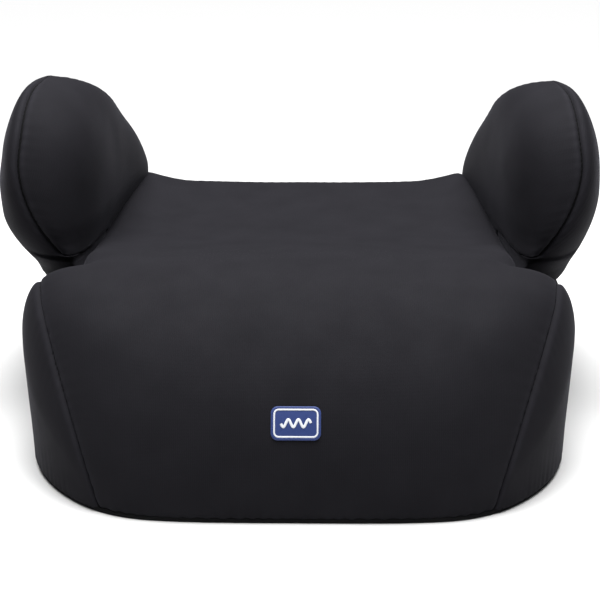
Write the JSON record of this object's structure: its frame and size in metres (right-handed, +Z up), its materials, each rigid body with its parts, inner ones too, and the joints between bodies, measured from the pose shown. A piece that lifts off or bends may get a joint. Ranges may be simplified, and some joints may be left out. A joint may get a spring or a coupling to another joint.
{
  "type": "booster seat",
  "caption": "Backless padded car booster seat with two rounded armrests, belt notches in front of them and a fitted fabric cover over a ribbed moulded shell.",
  "frame": {"origin": "on the floor, at the centre of the seat's bounding box in plan", "axes": "+X to the right for someone looking at the seat's front, +Y from the front to the rear, +Z up; left_ and right_ in node names are that person's left and right"},
  "size_m": [0.4426, 0.382, 0.2404],
  "materials": {
    "shell_plastic": "moulded black polypropylene with a fine spark texture",
    "guide_plastic": "smooth satin black polypropylene",
    "screw_steel": "zinc-plated steel",
    "foam": "grey open-cell polyurethane foam",
    "cover_fabric": "fine near-black polyester knit with a faint violet cast and a soft sheen",
    "hem_fabric": "black knitted binding, gathered",
    "elastic": "black braided elastic",
    "label": "dense navy woven label with a pale border"
  },
  "bodies": {
    "root": {"seat_shell": "shell_plastic", "seat_foam": "foam", "cover_seat_panel": "cover_fabric", "cover_back_panel": "cover_fabric", "cover_hem": "hem_fabric", "hem_elastic": "elastic", "front_label": "label", "left_armrest_core": "shell_plastic", "left_armrest_foam": "foam", "left_armrest_screws": "screw_steel", "left_belt_guide": "guide_plastic", "left_cover_side_panel": "cover_fabric", "left_armrest_inner_panel": "cover_fabric", "left_armrest_outer_panel": "cover_fabric", "right_armrest_core": "shell_plastic", "right_armrest_foam": "foam", "right_armrest_screws": "screw_steel", "right_belt_guide": "guide_plastic", "right_cover_side_panel": "cover_fabric", "right_armrest_inner_panel": "cover_fabric", "right_armrest_outer_panel": "cover_fabric"}
  },
  "joints": []
}
